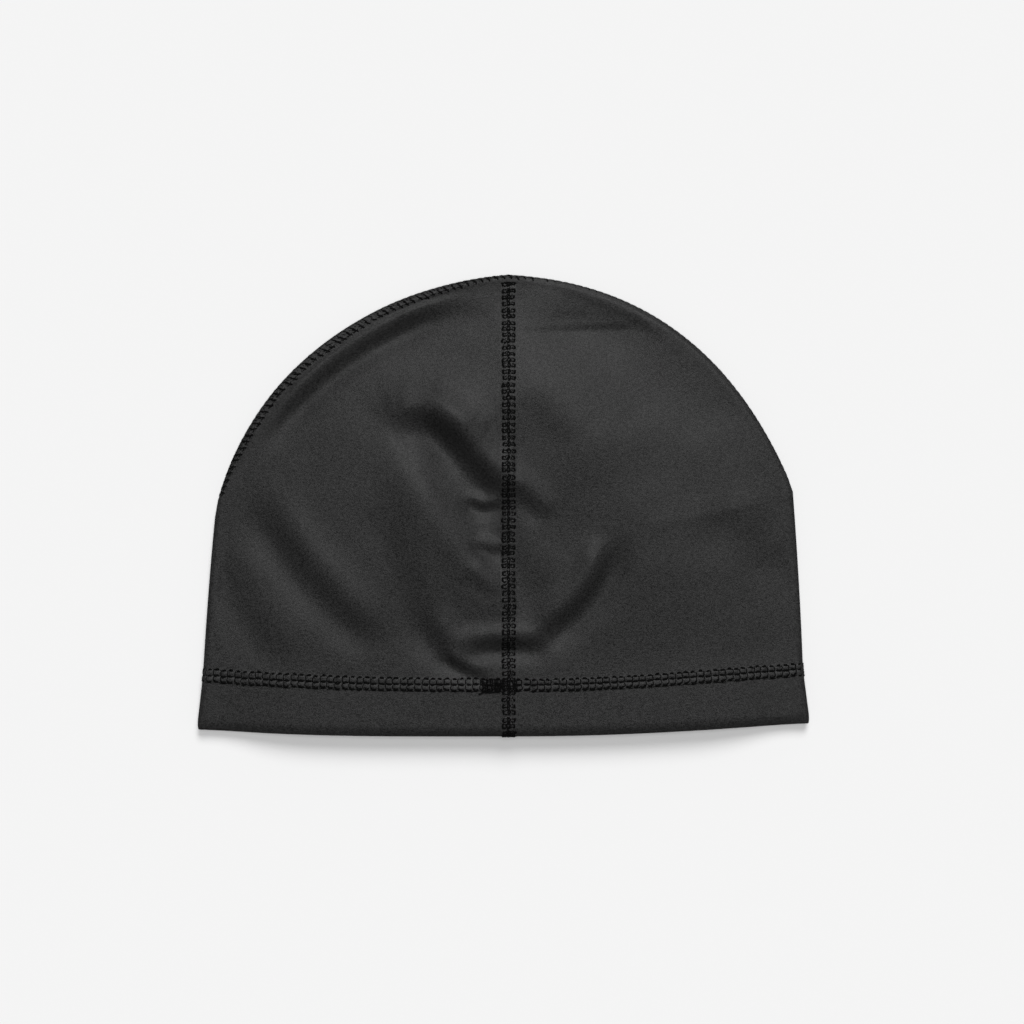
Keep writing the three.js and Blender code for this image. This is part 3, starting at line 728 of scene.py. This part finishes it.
def strokes(patch, rows, pitch, rng, margin, sunk):
    """Lines of thread on a patch for a repeated pattern, as (points, normals, radius)."""
    length = patch.u[-1] - 2 * margin
    count = int(length / pitch)
    middles = margin + (np.arange(count) + 0.5) * length / count
    shift = rng.normal(0, STITCH_JITTER / 2, (count, 2))
    lines = []
    for radius, points in rows:
        line = np.repeat(np.array(points, float)[None], count, axis=0)
        line[..., 0] = middles[:, None] + line[..., 0] * pitch
        line[..., :2] += shift[:, None] + rng.normal(0, STITCH_JITTER / 2, (count, len(points), 2))
        line[..., 2] += rng.normal(0, LIFT_JITTER, (count, 1)) - sunk(middles / patch.u[-1])[:, None]
        smooth_line = spline(line, STROKE_SAMPLES)
        lines.append((*patch.at(*np.moveaxis(smooth_line, -1, 0)), radius))
    return lines


def tubes(name, lines):
    """One mesh of closed tubes with tapered ends."""
    points, faces, count = [], [], 0
    angles = np.linspace(0, 2 * math.pi, THREAD_SIDES, endpoint=False)
    for line, normals, radius in lines:
        runs, samples = line.shape[:2]
        tangent = unit(np.gradient(line, axis=1))
        beside = unit(np.cross(tangent, normals))
        above = np.cross(beside, tangent)
        taper = np.full(samples, radius)
        taper[[0, -1]] *= THREAD_TAPER
        ring = np.cos(angles)[:, None] * beside[:, :, None] + np.sin(angles)[:, None] * above[:, :, None]
        tube = (line[:, :, None] + ring * taper[None, :, None, None]).reshape(-1, 3)
        tube[:, 2] = np.maximum(tube[:, 2], THREAD_LOWEST)
        points.append(tube)
        ids = count + np.arange(runs * samples * THREAD_SIDES).reshape(runs, samples, THREAD_SIDES)
        turned = np.roll(ids, -1, axis=2)
        quads = np.stack([ids[:, :-1], turned[:, :-1], turned[:, 1:], ids[:, 1:]], axis=-1).reshape(-1, 4)
        faces += quads[:, ::-1].tolist() + ids[:, 0].tolist() + ids[:, -1, ::-1].tolist()
        count += ids.size
    return make_mesh(name, np.concatenate(points), faces, sharp=180)


def tack_lines(rng):
    """Dense zigzag that ties off the hem's stitching, with a short frayed tail."""
    patch = tack_patch()
    first = patch.u[0] + TACK_MARGIN
    width = TACK_TO - TACK_FROM
    lines = []

    def add(points, radius, samples=STROKE_SAMPLES):
        line = spline(np.array(points, float)[None], samples)
        lines.append((*patch.at(*np.moveaxis(line, -1, 0)), radius))

    for i in range(TACK_STRANDS):
        u = first + (i + rng.uniform(0, 1)) * width / TACK_STRANDS
        lean = rng.normal(0, 0.5)
        low, high = rng.uniform(*TACK_LOW), rng.uniform(*TACK_HIGH)
        lift = rng.uniform(*TACK_LIFT)
        middle = (u + lean / 2 + rng.normal(0, 0.25), (low + high) / 2, lift + 0.15)
        rising = [(u, low, 0), (u + 0.1, low + 0.5, lift)]
        falling = [(u + lean, high - 0.5, lift), (u + lean, high, 0)]
        add([*rising, middle, *falling], rng.uniform(*TACK_RADIUS))
    for v in TACK_ROWS:
        wave = [
            (first + width * t, v + rng.normal(0, 0.22), rng.uniform(*TACK_ROW_LIFT))
            for t in np.linspace(0, 1, TACK_ROW_POINTS)
        ]
        add(wave, TACK_ROW_RADIUS, TACK_ROW_SAMPLES)
    add([(first - 0.1, 2.5, 0.3), (first - 0.15, 0, 0.7), (first - 0.1, -3.1, 0.5)], 0.3)
    add([(first - 0.3, -3.2, 0.5), (first + 3, -3.1, 0.6), (first + 7, -2.9, 0.3)], 0.28, 24)
    for _ in range(TAIL_FIBRES):
        u, v = first - rng.uniform(*TAIL_REACH), TAIL_V + rng.normal(0, 0.3)
        bend = (first - 0.5, -3.4 + rng.normal(0, 0.12), 0.8)
        end = (u, v, rng.uniform(*TAIL_LIFT))
        add([(first + 0.3, -3.1, 0.5), bend, end], rng.uniform(*TAIL_RADIUS))
    return lines


# Grain of the brushed cloth, which is a coarse noise, drawn out along x, and a finer one.
GRAIN_STRETCH = (0.6, 1, 1)
GRAIN_FINER = 2.6
GRAIN_COARSE_SHARE = 0.35
GRAIN_SPAN = (0.53, 0.82)


def cloth_material(name, dark, light, roughness, gloss, grain, relief):
    """Matte fibres between two tones of grey. grain is the size of the coarse noise, in millimetres."""
    material = bpy.data.materials.new(name)
    material.use_nodes = True
    nodes, links = material.node_tree.nodes, material.node_tree.links
    shader = nodes["Principled BSDF"]
    shader.inputs["Roughness"].default_value = roughness
    shader.inputs["Specular IOR Level"].default_value = gloss
    place = nodes.new("ShaderNodeTexCoord")
    brushed = nodes.new("ShaderNodeMapping")
    brushed.inputs["Scale"].default_value = GRAIN_STRETCH
    links.new(place.outputs["Object"], brushed.inputs["Vector"])
    coarse, fine = nodes.new("ShaderNodeTexNoise"), nodes.new("ShaderNodeTexNoise")
    coarse.inputs["Scale"].default_value = 1 / (grain * MM)
    coarse.inputs["Detail"].default_value = 2
    fine.inputs["Scale"].default_value = GRAIN_FINER / (grain * MM)
    fine.inputs["Detail"].default_value = 1
    links.new(brushed.outputs["Vector"], coarse.inputs["Vector"])
    links.new(place.outputs["Object"], fine.inputs["Vector"])
    both = nodes.new("ShaderNodeMath")
    both.operation = "MULTIPLY_ADD"
    both.inputs[1].default_value = GRAIN_COARSE_SHARE
    links.new(coarse.outputs["Fac"], both.inputs[0])
    links.new(fine.outputs["Fac"], both.inputs[2])
    spread = nodes.new("ShaderNodeMapRange")
    spread.inputs["From Min"].default_value = GRAIN_SPAN[0]
    spread.inputs["From Max"].default_value = GRAIN_SPAN[1]
    links.new(both.outputs["Value"], spread.inputs["Value"])
    ramp = nodes.new("ShaderNodeValToRGB")
    ramp.color_ramp.elements[0].color = (dark, dark, dark, 1)
    ramp.color_ramp.elements[1].color = (light, light, light, 1)
    links.new(spread.outputs["Result"], ramp.inputs["Fac"])
    links.new(ramp.outputs["Color"], shader.inputs["Base Color"])
    bump = nodes.new("ShaderNodeBump")
    bump.inputs["Strength"].default_value = 1
    bump.inputs["Distance"].default_value = relief * MM
    links.new(both.outputs["Value"], bump.inputs["Height"])
    links.new(bump.outputs["Normal"], shader.inputs["Normal"])
    return material


JERSEY = cloth_material("jersey", dark=0, light=0.03, roughness=0.57, gloss=0.42, grain=0.8, relief=0.14)
THREAD = cloth_material(
    "seam_thread", dark=0.0004, light=0.006, roughness=0.75, gloss=0.05, grain=0.45, relief=0.1
)


def dress(obj, slot, material, *nodes):
    """Gives a piece its material, and lets it stand for CAD nodes. The slot is not used."""
    obj.data.materials.append(material)
    if nodes:
        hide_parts(*nodes)


rng = np.random.default_rng(SEED)
for side in OUTWARD:
    dress(panel(side), "jersey", JERSEY, f"{side}_panel")
    dress(hem(side), "hem_jersey", JERSEY, f"{side}_hem")
    band = hem_patch(side)
    strip = band.cloth(f"{side}_hem_stitched_band", band.offsets(0, CELL_PUFF, HEM_PITCH), -BAND_CLOTH)
    dress(strip, "hem_jersey", JERSEY)
    lines = strokes(band, HEM_STROKES, HEM_PITCH, rng, 0, sunk_at_fold)
    dress(tubes(f"{side}_hem_stitches", lines), "seam_thread", THREAD)
for name, patch, pattern, pitch, margin, sunk in (
    ("back_seam", centre_patch(True), SEAM_STROKES, SEAM_PITCH, 0, np.zeros_like),
    ("front_seam", centre_patch(False), SEAM_STROKES, SEAM_PITCH, 0, np.zeros_like),
    ("crown_seam", crown_patch(), CROWN_STROKES, HEM_PITCH, CROWN_MARGIN, sunk_on_right),
):
    strip = patch.cloth(f"{name}_cloth", patch.offsets(SEAM_CREST, SEAM_PUFF, pitch), strip_inside(patch))
    dress(strip, "seam_thread", JERSEY, name)
    lines = strokes(patch, pattern, pitch, rng, margin, sunk)
    dress(tubes(f"{name}_stitches", lines), "seam_thread", THREAD)
dress(tubes("tack", tack_lines(rng)), "seam_thread", THREAD)

# Plain pale floor, which the cloth's gloss doesn't mirror.
FLOOR_SIZE = 40
FLOOR_DROP = 0.2 * MM
FLOOR_GREY = 0.8
bpy.ops.mesh.primitive_plane_add(size=FLOOR_SIZE, location=(0, 0, -FLOOR_DROP))
floor = bpy.context.object
floor.name = "floor"
floor_material = bpy.data.materials.new("floor_paper")
floor_material.use_nodes = True
floor_shader = floor_material.node_tree.nodes["Principled BSDF"]
floor_shader.inputs["Base Color"].default_value = (FLOOR_GREY, FLOOR_GREY, FLOOR_GREY, 1)
floor_shader.inputs["Roughness"].default_value = 1
floor_shader.inputs["Specular IOR Level"].default_value = 0
floor.data.materials.append(floor_material)
floor.visible_glossy = False


def add_sun(name, energy, spread, tilt, turn):
    """A distant light: its strength, and its spread, tilt from overhead and turn, in degrees."""
    data = bpy.data.lights.new(name, "SUN")
    data.energy = energy
    data.angle = math.radians(spread)
    light = bpy.data.objects.new(name, data)
    light.rotation_euler = (-math.radians(tilt), 0, -math.radians(turn))
    bpy.context.scene.collection.objects.link(light)
    return light


# Soft light from beyond the crown, and from straight above.
add_sun("window", energy=2.06, spread=30, tilt=42, turn=10)
add_sun("overhead", energy=1.66, spread=30, tilt=0, turn=0).visible_glossy = False
WORLD_STRENGTH = 0.12
world = bpy.data.worlds.new("studio")
world.use_nodes = True
world.node_tree.nodes["Background"].inputs["Color"].default_value = (1, 1, 1, 1)
world.node_tree.nodes["Background"].inputs["Strength"].default_value = WORLD_STRENGTH
bpy.context.scene.world = world
bpy.context.scene.view_settings.view_transform = "Standard"

# A long lens straight above. The photograph's width and scale give its distance, and its middle the place.
PHOTO_WIDTH_PX = 1024
MM_PER_PX = 0.4241
PHOTO_MIDDLE = (3.63, -2.87)  # in millimetres from the part's origin
SCALE_HEIGHT = 3 * MM  # the scale holds at this height, about that of the outline
LENS, SENSOR = 100, 36  # in millimetres
VIEW_END = 50  # in metres
camera_data = bpy.data.cameras.new("camera")
camera_data.lens = LENS
camera_data.sensor_width = SENSOR
camera_data.clip_end = VIEW_END
camera = bpy.data.objects.new("camera", camera_data)
frame_width = PHOTO_WIDTH_PX * MM_PER_PX * MM
distance = frame_width * camera_data.lens / camera_data.sensor_width
camera.location = (PHOTO_MIDDLE[0] * MM, PHOTO_MIDDLE[1] * MM, SCALE_HEIGHT + distance)
bpy.context.scene.collection.objects.link(camera)
bpy.context.scene.camera = camera
